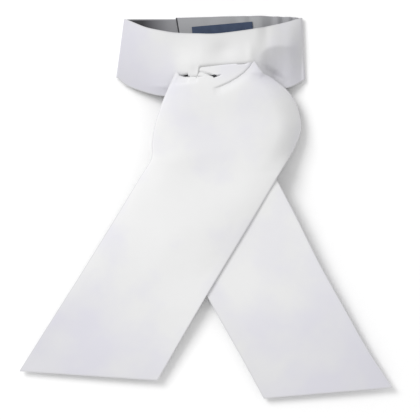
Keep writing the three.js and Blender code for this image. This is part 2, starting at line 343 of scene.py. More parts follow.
print("stitch spacing, mm:", LAP_END_STRIPE_SPACING / MM)

# %% [markdown]
# ## From a short table to a smooth sheet
#
# A tail is known by a dozen straight rows from edge to edge, as a pattern cutter would chalk them.
# A smooth curve through the rows gives the cloth between them. The curve is a Catmull-Rom spline:
# it passes through every row, so each measured place stays where it was measured.

# %% Curves through rows
def curve_at(rows, places):
    """Rows of numbers on a smooth curve through the given ones, at places counted in rows."""
    rows = np.asarray(rows, float)
    last = len(rows) - 1
    first = np.clip(np.floor(places).astype(int), 0, last - 1)
    t = (np.asarray(places, float) - first)[:, None]
    before, start, end, after = (rows[np.clip(first + k, 0, last)] for k in (-1, 0, 1, 2))
    leave, arrive = (end - before) / 2, (after - start) / 2
    return ((2 * t**3 - 3 * t**2 + 1) * start + (t**3 - 2 * t**2 + t) * leave
            + (3 * t**2 - 2 * t**3) * end + (t**3 - t**2) * arrive)


def smooth_step(value, low, high):
    """0 up to low, 1 from high on, and a soft S between them."""
    t = np.clip((value - low) / (high - low), 0, 1)
    return t * t * (3 - 2 * t)


def spaced(stretches):
    """Places with a given number of steps between each two marks, so that detail gets more rows."""
    marks = [np.linspace(low, high, steps, endpoint=False) for low, high, steps in stretches]
    return np.concatenate([*marks, [stretches[-1][1]]])


example = curve_at([[0], [1], [4]], spaced([(0, 2, 4)]))
print("a smooth curve through 0, 1 and 4:", example.ravel().round(2))

# %% [markdown]
# ## Laying a sheet of cloth
#
# Each sheet starts as Blender's own grid, which is a flat cut of cloth. Its points are then laid in
# their places, and its UV map is measured in metres over the laid cloth. Each point also keeps its
# distance to the nearest edge, for the materials, and its weight in a seam group.

# %% Lay a sheet
SEAM_ALLOWANCE = 8 * MM
# The weight of a point in the seam group: 1 at the edge, and this much inside the seams.
INSIDE_WEIGHT = 0.1


def lengths(points, axis):
    """How far each point lies along the laid cloth from its first point, down (0) or across (1)."""
    steps = np.linalg.norm(np.diff(points, axis=axis), axis=2)
    start = np.zeros_like(steps[:1] if axis == 0 else steps[:, :1])
    return np.concatenate([start, np.cumsum(steps, axis=axis)], axis=axis)


def lay_cloth(name, points, open_cells=()):
    """A grid primitive whose points are laid at points[row][column]. Row 0 is its edge at +Y."""
    rows, columns = points.shape[:2]
    bpy.ops.object.select_all(action="DESELECT")
    bpy.ops.mesh.primitive_grid_add(x_subdivisions=columns - 1, y_subdivisions=rows - 1,
                                    size=2, calc_uvs=True)
    cloth = bpy.context.object
    cloth.name = cloth.data.name = name
    mesh = cloth.data
    flat = np.zeros(len(mesh.vertices) * 3)
    mesh.vertices.foreach_get("co", flat)
    flat = flat.reshape(-1, 3)
    column = np.rint((flat[:, 0] + 1) / 2 * (columns - 1)).astype(int)
    row = np.rint((1 - flat[:, 1]) / 2 * (rows - 1)).astype(int)
    mesh.vertices.foreach_set("co", points[row, column].ravel())

    across, along = lengths(points, 1), lengths(points, 0)
    centred = across - across[:, -1:] / 2
    even_along = np.repeat(along.mean(axis=1)[:, None], columns, axis=1)
    measured = np.stack([centred, even_along], axis=2)
    mesh.uv_layers[0].name = "cloth"
    corner = np.zeros(len(mesh.loops), int)
    mesh.loops.foreach_get("vertex_index", corner)
    mesh.uv_layers[0].data.foreach_set("uv", measured[row[corner], column[corner]].ravel())

    side = np.minimum(across, across[:, -1:] - across)
    ends = np.minimum(along, along[-1:] - along)
    distance = np.minimum(side, ends)
    edge = mesh.attributes.new("edge_distance", "FLOAT", "POINT")
    edge.data.foreach_set("value", distance[row, column].astype(np.float32))
    seam = cloth.vertex_groups.new(name="seam")
    inside = smooth_step(distance, SEAM_ALLOWANCE / 4, SEAM_ALLOWANCE * 7 / 4)
    weights = 1 - (1 - INSIDE_WEIGHT) * inside
    for index, weight in enumerate(weights[row, column]):
        seam.add([index], float(weight), "REPLACE")
    if len(open_cells):
        cut_cells(cloth, row, column, open_cells)
    return cloth


def cut_cells(cloth, row, column, open_cells):
    """Deletes the faces whose upper left point is one of open_cells, as scissors cut a slit."""
    wanted = set(open_cells)
    bpy.ops.object.mode_set(mode="EDIT")
    bpy.ops.mesh.select_mode(type="FACE")
    bpy.ops.mesh.select_all(action="DESELECT")
    bpy.ops.object.mode_set(mode="OBJECT")
    for face in cloth.data.polygons:
        corner = list(face.vertices)
        face.select = (row[corner].min(), column[corner].min()) in wanted
    bpy.ops.object.mode_set(mode="EDIT")
    bpy.ops.mesh.delete(type="FACE")
    bpy.ops.object.mode_set(mode="OBJECT")


print("seam allowance, mm:", SEAM_ALLOWANCE / MM)

# %% [markdown]
# ### Thickness and a turned edge
#
# Solidify gives the laid sheet its thickness, a little more along the seams, where four layers of
# cotton lie instead of two, and its under side a material of its own, which inside the band is
# painted shade. Bevel then rounds the turned edge. Both are applied, so that the finished mesh is
# closed and holds all of its form.

# %% Finish a sheet
EDGE_ROUNDING = 0.45 * MM
# Only corners sharper than this are rounded, which leaves the cloth's own curves alone.
EDGE_ANGLE = math.radians(80)


def finish_cloth(cloth, thickness, material, inside=None, thinner=0.8):
    """Thickness, a rounded rim and smooth shading. inside is the under side's material, and thinner
    is the share of the thickness where the seam group has no weight."""
    cloth.data.materials.append(material)
    cloth.data.materials.append(inside or material)
    bpy.ops.object.select_all(action="DESELECT")
    cloth.select_set(True)
    bpy.context.view_layer.objects.active = cloth
    wall = cloth.modifiers.new("thickness", "SOLIDIFY")
    wall.thickness = thickness
    wall.offset = 0
    wall.use_even_offset = False
    wall.vertex_group = "seam"
    wall.thickness_vertex_group = thinner
    wall.material_offset = 1
    rim = cloth.modifiers.new("turned_edge", "BEVEL")
    rim.width = EDGE_ROUNDING
    rim.segments = 2
    rim.limit_method = "ANGLE"
    rim.angle_limit = EDGE_ANGLE
    for modifier in ("thickness", "turned_edge"):
        bpy.ops.object.modifier_apply(modifier=modifier)
    bpy.ops.object.shade_smooth()
    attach(cloth, "root")
    print(cloth.name, "faces:", len(cloth.data.polygons))


print("edges rounded by, mm:", EDGE_ROUNDING / MM)

# %% [markdown]
# ## Pressing lines into a sheet
#
# Folds and dents are drawn as lines of short pieces, with a depth and a softness at each point. How
# far every point of the sheet lies from the line, and on which side, decides how deep it is pressed.

# %% Press a line
def beside(line, x, y):
    """Signed distance to a line of short pieces, positive on its right, and its numbers there."""
    nearest = np.full(x.shape, 1e9)
    signed = np.zeros(x.shape)
    numbers = np.zeros((*x.shape, line.shape[1] - 2))
    for start, end in zip(line[:-1], line[1:]):
        dx, dy = end[:2] - start[:2]
        along = np.clip(((x - start[0]) * dx + (y - start[1]) * dy) / (dx * dx + dy * dy), 0, 1)
        away = np.hypot(x - start[0] - along * dx, y - start[1] - along * dy)
        side = np.sign((x - start[0]) * dy - (y - start[1]) * dx)
        closer = away < nearest
        nearest = np.where(closer, away, nearest)
        signed = np.where(closer, away * side, signed)
        there = start[2:] + (end[2:] - start[2:]) * along[..., None]
        numbers = np.where(closer[..., None], there, numbers)
    return signed, np.moveaxis(numbers, -1, 0)


def press_line(points, line, where=True):
    """A crease along rows of x, y, depth, softness above the line and softness below it."""
    signed, (depth, above, below) = beside(line, points[..., 0], points[..., 1])
    share = np.where(signed < 0, -signed / above, signed / below)
    points[..., 2] -= np.where(where, depth * (1 - smooth_step(share, 0, 1)), 0)


ruler = np.zeros((5, 3))
ruler[:, 1] = range(-2, 3)
press_line(ruler, np.array([(-9, 0, 1, 2, 1), (9, 0, 1, 2, 1)]))
print("a crease 1 mm deep, from 2 mm below it to 2 mm above it:", ruler[:, 2].round(2))

# %% [markdown]
# ## The neckband
#
# The band is one strip, 56 mm wide and some 43 cm long, closed to a loop of about 36 cm by the lap
# at its back. Pressed flat, its sides are sharp creases; the front arches up between them over the
# empty hollow. It could be a swept ribbon, but the creases aren't square to the strip and the front
# dips between them, so each station is a line of its own from the upper edge to the foot. All the
# tables from here on are in millimetres.

# %% Neckband tables
BAND_CLOTH = 1.8
TAIL_CLOTH = 1.6
LAYER_GAP = 0.3
FASTENER_CLOTH = 2.0
CREASE_RADIUS = 1.5
# How steeply the front leaves its side creases, in degrees.
FRONT_SLOPE = 32
OUTER_STRIP_Z = BAND_CLOTH / 2
INNER_STRIP_Z = BAND_CLOTH + LAYER_GAP + FASTENER_CLOTH + LAYER_GAP + BAND_CLOTH / 2
# Right of the knot the stations are level at this height, and a ridge is shaped there afterwards.
LEVEL_Z = 27.2

# Each station: the upper edge's x, y and z, then the foot's.
BAND_FRONT = [
    (-67, 168.5, 10, -75.5, 112.5, 5),
    (-56, 163.5, 17.6, -62.5, 107, 7.8),
    (-43, 160, 24.4, -47, 102.5, 12),
    (-29, 157.5, 28, -31, 100.5, 18),
    (-10, 156.6, 29.8, -10, 100, 27.6),
    (7.5, 156.5, 30.2, 7.5, 100, 28),
    (32, 159.5, 28.6, 34, 102, 27.6),
    (46, 162, LEVEL_Z, 50, 104.5, LEVEL_Z),
    (58, 164.7, LEVEL_Z, 62, 106.5, LEVEL_Z),
    (73, 169, LEVEL_Z, 76, 110, LEVEL_Z),
]
# Each crease: x and y at the upper edge, then at the foot.
LEFT_CREASE = (-76.8, 172.5, -84, 118.7)
RIGHT_CREASE = (87, 173.5, 89.5, 116.5)
OUTER_STRIP = [
    (40, 172.5, OUTER_STRIP_Z, 40, 116.5, OUTER_STRIP_Z),
    (5, 172.5, OUTER_STRIP_Z, 5, 116.5, OUTER_STRIP_Z),
    (-32, 172.6, OUTER_STRIP_Z, -33, 116.6, OUTER_STRIP_Z),
    (-66, 172.6, OUTER_STRIP_Z, -71, 117.2, OUTER_STRIP_Z),
]
INNER_STRIP = [
    (78, 174.3, OUTER_STRIP_Z, 79, 117.5, OUTER_STRIP_Z),
    (67, 174.7, OUTER_STRIP_Z, 67, 118.2, OUTER_STRIP_Z),
    (60, 174.9, 1.9, 60, 118.4, 1.9),
    (53, 175.1, 4.3, 53, 118.6, 4.3),
    (46, 175.2, INNER_STRIP_Z, 46, 118.7, INNER_STRIP_Z),
    (20, 174.8, INNER_STRIP_Z, 20, 118.3, INNER_STRIP_Z),
    (-4, 174.1, INNER_STRIP_Z, -4, 117.6, INNER_STRIP_Z),
    (-29.3, 173.4, INNER_STRIP_Z, -19.4, 116.9, INNER_STRIP_Z),
]
print("measured stations:", len(BAND_FRONT) + len(OUTER_STRIP) + len(INNER_STRIP))

# %% [markdown]
# ### Stations round the loop
#
# The loop is put together from the outer end of the lap, the left crease, the arched front, the
# right crease and the inner end. A crease is a tight half turn, so its stations are counted in
# degrees. The front has the most stations where the slit's lip turns.

# %% Stations
CREASE_STEPS = 12
OUTER_STATIONS, INNER_STATIONS = 40, 90


def crease(edge, outward, from_degrees, to_degrees):
    """Stations round a pressed side: the strip turns on a small radius about the crease."""
    top_x, top_y, foot_x, foot_y = edge
    angle = np.radians(np.linspace(from_degrees, to_degrees, CREASE_STEPS + 1))
    shift = CREASE_RADIUS * np.cos(angle) - outward * (CREASE_RADIUS + BAND_CLOTH / 2)
    height = OUTER_STRIP_Z + CREASE_RADIUS + CREASE_RADIUS * np.sin(angle)
    one = np.ones_like(angle)
    return np.stack([top_x + shift, top_y * one, height,
                     foot_x + shift, foot_y * one, height], axis=1)


left_crease = crease(LEFT_CREASE, -1, -90, -180 - (90 - FRONT_SLOPE))
right_crease = crease(RIGHT_CREASE, 1, 90 - FRONT_SLOPE, -90)
# The front ends where the crease begins, and is level there too: a station's z are numbers 2 and 5.
arch_end = right_crease[0].copy()
arch_end[[2, 5]] = LEVEL_Z
arch_rows = np.array([left_crease[-1], *BAND_FRONT, arch_end])
arch_places = spaced([(0, 3, 24), (3, 4.5, 36), (4.5, 5.3, 56), (5.3, 8, 56), (8, 11, 34)])
arch = curve_at(arch_rows, arch_places)[1:-1]
outer_places = np.linspace(0, len(OUTER_STRIP), OUTER_STATIONS)
inner_places = np.linspace(0, len(INNER_STRIP), INNER_STATIONS)
outer = curve_at(np.array([*OUTER_STRIP, left_crease[0]]), outer_places)[:-1]
inner = curve_at(np.array([right_crease[-1], *INNER_STRIP]), inner_places)[1:]
stations = np.concatenate([outer, left_crease, arch, right_crease, inner])
number = np.arange(len(stations))
front_start = len(outer) + len(left_crease)
front_end = front_start + len(arch)
is_front = (number >= front_start) & (number < front_end)
is_after = number >= front_end
is_inner = number >= len(stations) - len(inner)
print("stations:", len(stations), "of them on the front:", len(arch))

# %% [markdown]
# ### The slit and its rolled lip
#
# The tails are drawn out of a slit in the band's front. Above it the band is pushed up by the cloth
# beneath and rolls down into the slit, which gives the soft dark line of the knot. The lip is a
# curve of its own: low at the left where the front tail's corner comes out, higher over the fold.
#
# Below the lip the slit is cut 15 mm wide. The front tail hides that, and the knot's open pocket
# can then look down into the dark hollow of the band.

# %% Band points
# Along the slit: x, the lip's y, and how much the band rolls under there, from 0 to 1.
LIP = np.array([
    (-48, 119, 0), (-37, 119.5, 0), (-31, 119.9, 0.15), (-27.5, 120.1, 0.65), (-25, 119.8, 0.82),
    (-21, 120.1, 0.94), (-17.3, 120.6, 1), (-16.4, 118.3, 1), (-13, 117.5, 1), (-9.4, 117.8, 1),
    (-8.8, 121, 1), (-8.3, 125, 1), (-6.5, 126.8, 1), (0, 127.5, 1), (8, 128.1, 1), (20, 128.9, 1),
    (34.5, 129.9, 1), (38, 130.6, 0.93), (43, 132, 0.62), (48, 132.7, 0.25), (56, 133, 0),
])
# The raised band falls away above a smoother line than the lip: x, y.
SOFT_LIP = np.array([
    (-37, 119.5), (-20, 119.5), (-12, 121), (-5, 125), (5, 127.5), (35, 130), (51, 133),
])
LIP_RISE = 4.8
# The x where the rise begins, is whole, begins to fade, and is over.
RISE_SPAN = (-58, -16, 36, 58)
# It is followed a little past the soft line, where it begins to fall again.
RISE_PAST = 1.15
# The lip rolls under by this many degrees on this radius.
LIP_TURN = 125
LIP_ROLL = 2.1
SLIT_WIDTH = 15
# The slit never takes more than this share of the cloth between the lip and the foot.
SLIT_SHARE = 0.6
SLIT_ENDS = (-27, 42)
UPPER_ROWS, ROLL_ROWS, LOWER_ROWS = 26, 6, 14
# Away from the front the rows only need to be even. This is the upper rows' share.
FLAT_LIP = 0.62


def lip_at(x, front):
    """The lip's y, the soft line's y, the rise and the roll at a place along the band."""
    lip_y, roll = (float(np.interp(x, LIP[:, 0], LIP[:, k])) for k in (1, 2))
    soft_y = float(np.interp(x, SOFT_LIP[:, 0], SOFT_LIP[:, 1]))
    begins, whole, fades, over = RISE_SPAN
    rise = LIP_RISE * smooth_step(x, begins, whole) * (1 - smooth_step(x, fades, over))
    return (lip_y, soft_y, rise, roll) if front else (lip_y, soft_y, 0, 0)


def band_column(top, foot, front):
    """One station's points, from the upper edge to the lip, round the lip, and on to the foot."""
    lip_y, soft_y, rise, roll = lip_at((top[0] + foot[0]) / 2, front)
    height = top[1] - foot[1]
    lip = (top[1] - lip_y - LIP_ROLL) / height if front else FLAT_LIP
    fall = foot - top
    column = [top + fall * lip * share for share in np.linspace(0, 1, UPPER_ROWS)]
    for point in column:
        share = np.clip((top[1] - point[1]) / (top[1] - soft_y), 0, RISE_PAST)
        point[2] += rise * np.sin(share * np.pi / 2) ** 2
    edge = column[-1]
    below = min(lip + SLIT_WIDTH / height, lip + SLIT_SHARE * (1 - lip))
    for step in range(1, ROLL_ROWS + 1):
        angle = np.radians(LIP_TURN) * step / ROLL_ROWS
        turned = np.array([0, -LIP_ROLL * np.sin(angle), -LIP_ROLL * (1 - np.cos(angle))])
        straight = fall * (below - lip) * step / (ROLL_ROWS + 1)
        column.append(edge + roll * turned + (1 - roll) * straight)
    for share in np.linspace(0, 1, LOWER_ROWS):
        left_over = rise * (1 - roll) * (1 - share) ** 2
        column.append(top + fall * (below + (1 - below) * share) + [0, 0, left_over])
    return column


columns = [band_column(s[:3], s[3:], front) for s, front in zip(stations, is_front)]
band_grid = np.array(columns).transpose(1, 0, 2)
print("band points:", band_grid.shape[:2])

# %% [markdown]
# ### Ridge, dent, swells and puckers
#
# Cloth that is pulled to a knot doesn't stay even. A ridge runs from the knot to the right crease,
# the band dives under the front tail in a dent, and the front swells softly round the slit. Behind
# it, the inner strip stands in small upright puckers where it steps down beside the lap. Each is a
# few numbers in a table, added to the heights of the points.

# %% Shape the band
# The ridge: x, its y, then the heights of the ridge, of the upper edge and of the foot.
RIDGE = np.array([
    (42, 132.5, 27.2, 26, 27), (46, 136.5, 27.2, 24.6, 25), (53, 143, 26.2, 21.6, 17.5),
    (60, 145.5, 24.4, 18, 11), (67, 146, 21.4, 14, 9), (76, 146, 16.4, 9.2, 8.2),
    (86, 146, 5.2, 4.6, 3.7),
])
RIDGE_POINTS = 80
# The ridge takes over from the level stations within this much of its start.
RIDGE_BLEND = 12
# Heights that the ridge replaces: x, z.
RIDGE_BASE = np.array([(46, 27.8), (58, LEVEL_Z)])
# From the ridge the cloth falls by these powers of the distance, above and below.
RIDGE_FALL = (1.3, 1.6)
# The lift of the right crease: y, height. It fades within a distance to the left of an x.
CREASE_LIFT = np.array([(116.5, 0), (128, 0.4), (146, 0.9), (160, 0.9), (173.5, 0.9)])
CREASE_LIFT_X = 86
CREASE_LIFT_FADE = 40
# A dent where the band dives under the front tail: x, y, depth, softness above, softness below.
DENT = np.array([
    (48, 129, 0.5, 3, 4), (53, 126.4, 3, 3, 6), (60, 122.5, 3.4, 4, 7), (67, 117.5, 2.6, 5, 7),
    (73, 113, 0, 5, 7),
])
# Soft swells of the front: x, y, half widths in x and y, height.
SWELLS = [(-11, 123.5, 3.5, 4, -0.8), (14, 140, 11, 8.5, -3.1), (38.6, 138, 3.4, 8, 0.8),
          (-18, 130, 9, 6, 0.5), (67, 117, 5, 4, 1.6), (10, 162, 46, 20, 1.8)]
# Upright puckers of the inner strip: x, half width, height. They fade from the upper edge down.
PUCKERS = [(2, 5, -0.5), (14, 6, 0.4), (26, 4, -0.9), (38.5, 2.6, -1.6), (48, 5, 1.2),
           (64, 3.2, 2.4), (74, 2.8, 2.2), (81, 2, 1.4)]
PUCKER_SPAN = (118, 172)


def pull_ridge(points):
    """Right of the knot the front falls to the crease, upwards and downwards from a ridge."""
    x, y = points[..., 0], points[..., 1]
    side = curve_at(RIDGE, np.linspace(0, len(RIDGE) - 1, RIDGE_POINTS))
    ridge_y, ridge, upper, foot = (np.interp(x, side[:, 0], side[:, k]) for k in range(1, 5))
    above = np.clip((y - ridge_y) / (y[0] - ridge_y), 0, 1)
    below = np.clip((ridge_y - y) / (ridge_y - y[-1]), 0, 1)
    up, down = RIDGE_FALL
    height = ridge + (upper - ridge) * above ** up + (foot - ridge) * (1 - (1 - below) ** down)
    share = smooth_step(x, RIDGE[0, 0], RIDGE[0, 0] + RIDGE_BLEND)
    base = np.interp(x, RIDGE_BASE[:, 0], RIDGE_BASE[:, 1])
    points[..., 2] += np.where(is_front, share * (height - base), 0)


def lift_crease(points):
    """The right crease and what follows it stand up a little, towards the upper edge."""
    lifted = np.interp(points[..., 1], CREASE_LIFT[:, 0], CREASE_LIFT[:, 1])
    near = 1 - smooth_step(CREASE_LIFT_X - points[..., 0], 0, CREASE_LIFT_FADE)
    points[..., 2] += np.where(is_after, lifted * near, 0)


for x, width, swell in PUCKERS:
    bulge = swell * np.exp(-((band_grid[..., 0] - x) / width) ** 2)
    band_grid[..., 2] += np.where(is_inner, bulge * smooth_step(band_grid[..., 1], *PUCKER_SPAN), 0)
pull_ridge(band_grid)
lift_crease(band_grid)
press_line(band_grid, DENT, is_front)
for x, y, wide, high, swell in SWELLS:
    away = ((band_grid[..., 0] - x) / wide) ** 2 + ((band_grid[..., 1] - y) / high) ** 2
    band_grid[..., 2] += np.where(is_front, swell * np.exp(-away), 0)
print("highest point of the band, mm:", round(float(band_grid[..., 2].max()), 1))

# %% [markdown]
# ### Make the band
#
# The sheet is laid, the slit is cut from one row of its cells, and the cloth gets its thickness,
# with its inside painted grey as painted shade. The faces at the lap's end take its painted shadow.

# %% Neckband sheet
# The lap's end: its x at two heights of y, half its painted shadow's width, the z it lies between.
LAP_END_Y, LAP_END_X = (116.9, 173.4), (-19.4, -29.3)
LAP_SHADOW_HALF_WIDTH = 1.3
LAP_LOW, LAP_HIGH = INNER_STRIP_Z - 1.2, 9

slit_row = UPPER_ROWS + ROLL_ROWS - 1
slit_x = band_grid[UPPER_ROWS, :, 0]
slit_cells = [(slit_row, c) for c in range(front_start, front_end - 1)
              if SLIT_ENDS[0] < slit_x[c] < SLIT_ENDS[1]]
neckband = lay_cloth("neckband_cloth", band_grid * MM, slit_cells)
finish_cloth(neckband, BAND_CLOTH * MM, band_cotton, inside=band_inside_painted_shade, thinner=0.9)
neckband.data.materials.append(lap_end_painted_shadow)
# The faces at the lap's end take its painted shadow.
for face in neckband.data.polygons:
    x, y, z = face.center / MM
    if abs(x - np.interp(y, LAP_END_Y, LAP_END_X)) < LAP_SHADOW_HALF_WIDTH and LAP_LOW < z < LAP_HIGH:
        face.material_index = 2
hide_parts("neckband")
band_length = np.linalg.norm(np.diff(band_grid.mean(axis=0), axis=0), axis=1).sum()
print("band length, mm:", round(float(band_length), 1))

# %% [markdown]
# ## The tails
#
# Both tails are tubes of cloth turned inside out and pressed, 109 mm wide, with slant-cut ends. The
# rows give each edge and three heights; between them the cloth is nearly flat in the middle and
# rolls down at its edges. The back tail is laid first, because the front one lies on it. Its hidden
# start is narrow, so that it doesn't close the knot's pocket from below.

# %% Back tail
# Each row: left x, y; right x, y; the heights at the left edge, the middle and the right edge.
BACK_TAIL = [
    (14, 133, 28, 133, 29.2, 29.2, 29.2),
    (12, 122, 28.5, 122, 29.2, 29.2, 29.2),
    (4, 111, 29.5, 111, 29.2, 29.2, 29.2),
    (-25, 99.5, 33, 99.5, 29.1, 29.2, 29.1),
    (-33, 86, 36.5, 86, 25, 28.4, 26.5),
    (-41.5, 65.5, 43, 66, 19, 26.2, 23),
    (-47, 43, 52, 44.5, 14, 23, 18),
    (-48, 20, 62.4, 25.5, 12, 19.8, 18.3),
    (-38, -10, 81.7, -11, 10.5, 15, 16.5),
    (-16, -52.5, 102.3, -52, 8.6, 9.8, 14),
    (6, -93.5, 124.7, -92, 8, 7.6, 11.5),
    (30, -136, 146.8, -131, 7, 6.4, 9),
    (51.5, -175.5, 169.5, -165.2, 6, 6.8, 7.2),
]
# The higher this power, the flatter the middle and the tighter the edges.
ARCH_POWER = 4


def tail_points(rows, places, across):
    """Points of a tail: straight rows from edge to edge, arched between their three heights."""
    row = curve_at(rows, places)[:, :, None]
    u = across[None, :]
    left_x, left_y, right_x, right_y, left_z, middle_z, right_z = (row[:, k] for k in range(7))
    arch = (middle_z - (left_z + right_z) / 2) * (1 - np.abs(2 * u - 1) ** ARCH_POWER)
    return np.stack([left_x + (right_x - left_x) * u, left_y + (right_y - left_y) * u,
                     left_z + (right_z - left_z) * u + arch], axis=2)


back_across = spaced([(0, 0.12, 10), (0.12, 0.88, 44), (0.88, 1, 10)])
back_grid = tail_points(BACK_TAIL, spaced([(0, 4, 40), (4, 12, 120)]), back_across)
back_tail = lay_cloth("back_tail_cloth", back_grid * MM)
finish_cloth(back_tail, TAIL_CLOTH * MM, outer_cotton)
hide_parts("back_tail")

# %% [markdown]
# ## The front tail and its knot
#
# The front tail carries the knot. Its cloth is tucked: from the slit a fold runs down to the right,
# and the tail's right half is laid over it along a slanting line. Where the cloth is pulled in, a
# small dark pocket opens. A plain sheet is laid first, with points close together near the knot.

# %% Front tail rows
FRONT_TAIL = [
    (-28.5, 118.3, 42, 132.5, 30, 32, 32.4),
    (-32, 112, 49.5, 121.5, 30.6, 32.6, 30),
    (-35.5, 106, 59, 116, 30.6, 32.8, 27.2),
    (-42, 90.5, 74, 104, 28.6, 32.2, 24.5),
    (-47.5, 73.5, 82.5, 88, 25.4, 30.5, 22),
    (-50, 58, 84.5, 70, 22.4, 29, 21),
    (-51, 43.5, 76.5, 50, 20, 27, 20),
    (-63, 24.2, 63.6, 28.2, 15.5, 23.5, 21),
    (-85.6, -12.4, 35.4, -19.7, 9.6, 16.8, 17.5),
    (-115.8, -60.8, 6, -69, 5, 10.4, 12),
    (-146.5, -109, -21.6, -116, 3.8, 6.6, 10),
    (-172.5, -150.5, -46, -158.7, 5.8, 6.8, 8.2),
]
# The sheet's upper edge, most of it hidden under the lip: x, y.
UPPER_EDGE = np.array([
    (-28.5, 121.3), (-26.4, 120.6), (-25.6, 118.6), (-22, 117.6), (-18.5, 117), (-16.6, 117.2),
    (-15, 119.5), (-10, 119.8), (-8.8, 123), (-8.4, 127), (-7, 129.8), (0, 131), (34, 133),
    (43, 132.5),
])
# The upper edge's shape fades out over this many rows of the table.
UPPER_EDGE_ROWS = 2

front_across = spaced([(0, 0.04, 8), (0.04, 0.7, 128), (0.7, 0.94, 30), (0.94, 1, 12)])
front_places = spaced([(0, 2.3, 76), (2.3, 4, 24), (4, 11, 100)])
front_grid = tail_points(FRONT_TAIL, front_places, front_across)
fades = 1 - smooth_step(front_places, 0, UPPER_EDGE_ROWS)
pushed_up = np.interp(front_grid[0, :, 0], *UPPER_EDGE.T) - front_grid[0, :, 1]
front_grid[..., 1] += fades[:, None] * pushed_up
print("front tail points:", front_grid.shape[:2])

# %% [markdown]
# ### The tuck, the pocket and the rolled edges
#
# The pocket, the short lines beside it and the tuck are pressed into the sheet, as fingers would
# press them. The edge of the tuck is steep on one side and soft on the other, because one layer
# ends there and lies on the next. Then the side edges roll under, softly over two centimetres and
# tightly at the very edge.

# %% Press and roll the front tail
# Lines pressed into the cloth, from left to right: x, y, depth, softness above, softness below.
NOTCH = np.array([
    (-8.4, 121.8, 1.2, 1.6, 1.5), (-4, 120.9, 1.2, 2.5, 1.6), (0, 119.6, 2.4, 2.6, 1.2),
    (3, 118.2, 5.5, 2.6, 0.7), (6.7, 116.9, 9, 2.4, 0.6), (10.4, 118.2, 5.5, 1.6, 0.6),
    (12.8, 119.2, 0, 1, 0.6),
])
SHORT_LINE = np.array([(-18, 117, 1.5, 1.4, 0.7), (-8, 117.2, 1.6, 1.2, 0.7), (-3, 117.6, 0, 1, 0.6)])
RIGHT_SPOT = np.array([
    (26, 128.6, 0, 1, 0.6), (28.5, 128.6, 4, 1.2, 0.6), (33, 129, 6, 1.4, 0.7),
    (36, 129.6, 0, 1, 0.6),
])
UNDER_LIP = np.array([(-7, 128.5, 1.6, 3, 3), (34, 131.5, 1.6, 3, 3)])
# The slanting edge along which the tail's right half lies over the fold: x, y, step, groove before
# it, and how far behind it the step fades.
TUCK = np.array([
    (4.5, 106.6, 0, 0, 3), (8, 107.3, 0, 0.9, 3), (11, 108.3, 0.2, 1.6, 4), (19.5, 112, 0.4, 1.7, 12),
    (26.5, 116.1, 0.5, 1.6, 18), (33, 120.8, 0.6, 1.5, 22), (38.3, 126.3, 0.7, 1.3, 24),
    (41.3, 131.5, 0.7, 1.2, 24),
])
# Half the width over which the tuck steps up, and the groove's reach before and behind it.
TUCK_STEP = 0.35
GROOVE_BEFORE, GROOVE_BEHIND = 1, 5
# The fold's left end: its x, how wide its turn is and how far it drops, and the y where it begins.
FOLD_END_X, FOLD_END_WIDTH, FOLD_END_DROP = -8.6, 2.4, 2.6
FOLD_END_Y = (120.8, 122.6)
# How much the side edges roll under, row by row of the table, at the left and at the right.
LEFT_ROLL = (0.6, 0.7, 0.8, 1, 1, 1, 0.7, 0.2, 0, 0, 0, 0)
RIGHT_ROLL = (0, 0.15, 0.65, 1, 1, 1, 0.55, 0, 0, 0, 0, 0)
# The drop of the soft roll and of the tight one, left and right, and how wide each roll is.
LEFT_DROPS, RIGHT_DROPS = (0, 0.5), (10.5, 2.4)
SOFT_ROLL, TIGHT_ROLL = 23, 2.6


def press_tuck(points):
    """The tail's right half lies over the fold: steep before the line, and gently up behind it."""
    signed, (step, groove, reach) = beside(TUCK, points[..., 0], points[..., 1])
    over = smooth_step(signed, -TUCK_STEP, TUCK_STEP)
    points[..., 2] += step * over * np.exp(-np.maximum(signed, 0) / reach)
    width = np.where(signed < 0, GROOVE_BEFORE, GROOVE_BEHIND)
    points[..., 2] -= groove * np.exp(-(signed / width) ** 2)


def round_fold_end(points):
    """The fold's left end turns down, as a folded cloth does."""
    inward = np.clip((points[..., 0] - FOLD_END_X) / FOLD_END_WIDTH, 0, 1)
    fall = FOLD_END_DROP * (1 - np.sqrt(1 - (1 - inward) ** 2))
    points[..., 2] -= fall * smooth_step(points[..., 1], *FOLD_END_Y)


def roll_edge(points, places, away, shares, drops):
    """Turns one side edge down. away is each point's distance from it along the cloth."""
    share = np.interp(places, np.arange(len(shares)), shares)[:, None]
    soft, tight = drops
    turn = np.clip(1 - away / TIGHT_ROLL, 0, 1)
    rolled = soft * np.clip(1 - away / SOFT_ROLL, 0, 1) ** 2 + tight * (1 - np.sqrt(1 - turn ** 2))
    points[..., 2] -= share * rolled


for line in (NOTCH, SHORT_LINE, RIGHT_SPOT, UNDER_LIP):
    press_line(front_grid, line)
press_tuck(front_grid)
round_fold_end(front_grid)
from_left = lengths(front_grid, 1)
from_right = from_left[:, -1:] - from_left
roll_edge(front_grid, front_places, from_left, LEFT_ROLL, LEFT_DROPS)
roll_edge(front_grid, front_places, from_right, RIGHT_ROLL, RIGHT_DROPS)
print("front tail width at the lobe, mm:", round(float(from_left[:, -1].max()), 1))

# %% [markdown]
# ### Let it lie on the band and on the back tail
#
# A plumb line from above finds what lies under each point. Beside the knot the front tail is lifted
# where it would sink into the band. Along the crossing its right edge is moved until it lies on the
# back tail, and the cloth further in follows softly.

# %% Rest the front tail
# Beside the knot: the least x, and the y between which the band may carry the tail.
LOBE_X, LOBE_Y = 42, (84, 129)
# The lift comes in softly from LOBE_X on.
LOBE_FULL_X = 56
# The y between which the right edge crosses the back tail.
CROSSING_Y = (-88, 52)
# The share across the tail from which its cloth follows the edge, and how many rows are averaged.
FOLLOWS_FROM = 0.45
AVERAGED_ROWS = 9


